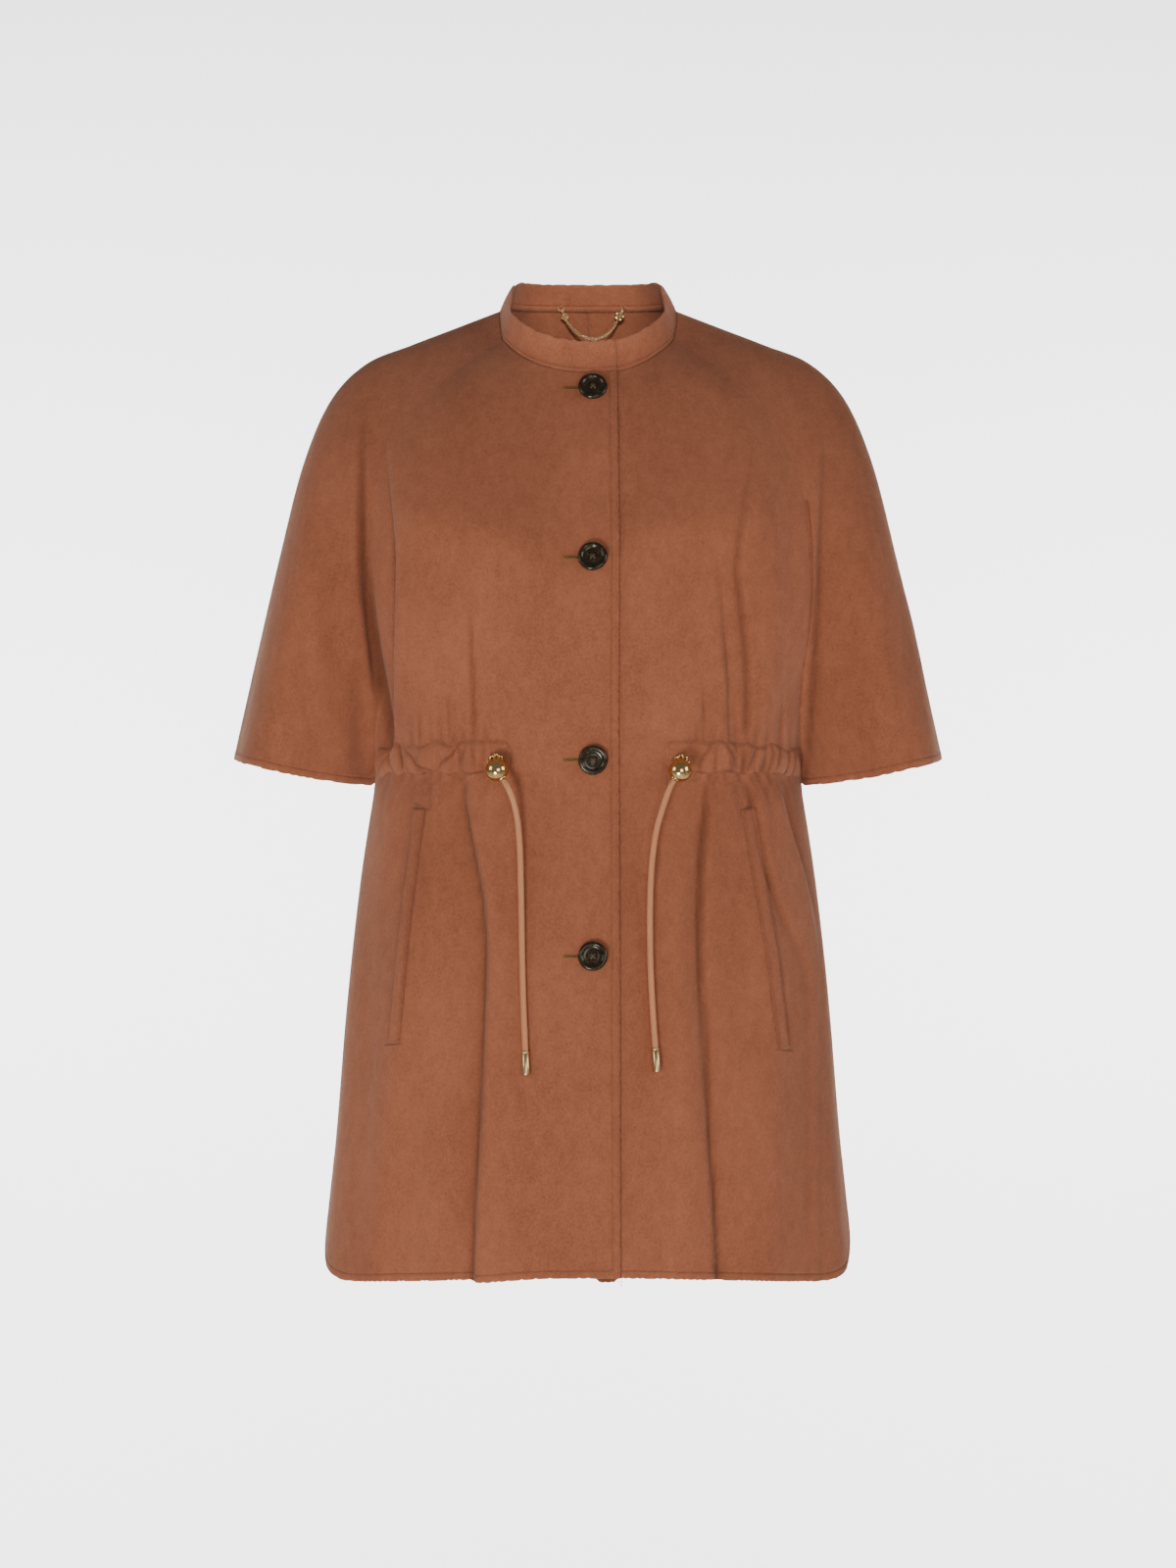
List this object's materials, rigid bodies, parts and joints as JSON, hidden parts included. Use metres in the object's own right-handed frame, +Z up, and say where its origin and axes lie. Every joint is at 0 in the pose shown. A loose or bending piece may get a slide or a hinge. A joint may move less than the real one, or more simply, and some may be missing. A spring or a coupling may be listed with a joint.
{
  "type": "short wool cape-jacket with wide elbow sleeves",
  "caption": "Hollow worn cape-jacket in double-faced wool: stand collar, button front, wide cape sleeves, welt pockets and a waist drawcord with ball stops.",
  "frame": {"origin": "middle of the neck at the height of the shoulders' neck points, where the wearer's neck and shoulders carry the garment", "axes": "+Z up, the fronts face -Y, +X to the wearer's left"},
  "size_m": [0.602, 0.2843, 0.8484],
  "materials": {
    "wool": "terracotta brown double-faced wool with a short brushed nap",
    "horn": "dark brown horn look, polished rim and matt dish",
    "gold_metal": "polished pale gold plating",
    "satin_cord": "round salmon satin cord"
  },
  "bodies": {
    "root": {"front_right": "wool", "front_left": "wool", "back_right": "wool", "back_left": "wool", "collar": "wool", "casing_front_right": "wool", "casing_front_left": "wool", "casing_back_right": "wool", "casing_back_left": "wool", "pocket_welt_right": "wool", "pocket_welt_left": "wool", "button_1": "horn", "button_2": "horn", "button_3": "horn", "button_4": "horn", "eyelet_right": "gold_metal", "eyelet_left": "gold_metal", "cord_stop_right": "gold_metal", "cord_stop_left": "gold_metal", "cord_tip_right": "gold_metal", "cord_tip_left": "gold_metal", "hanger_chain": "gold_metal", "chain_fitting_right": "gold_metal", "chain_fitting_left": "gold_metal", "cord_right": "satin_cord", "cord_left": "satin_cord"}
  },
  "joints": []
}
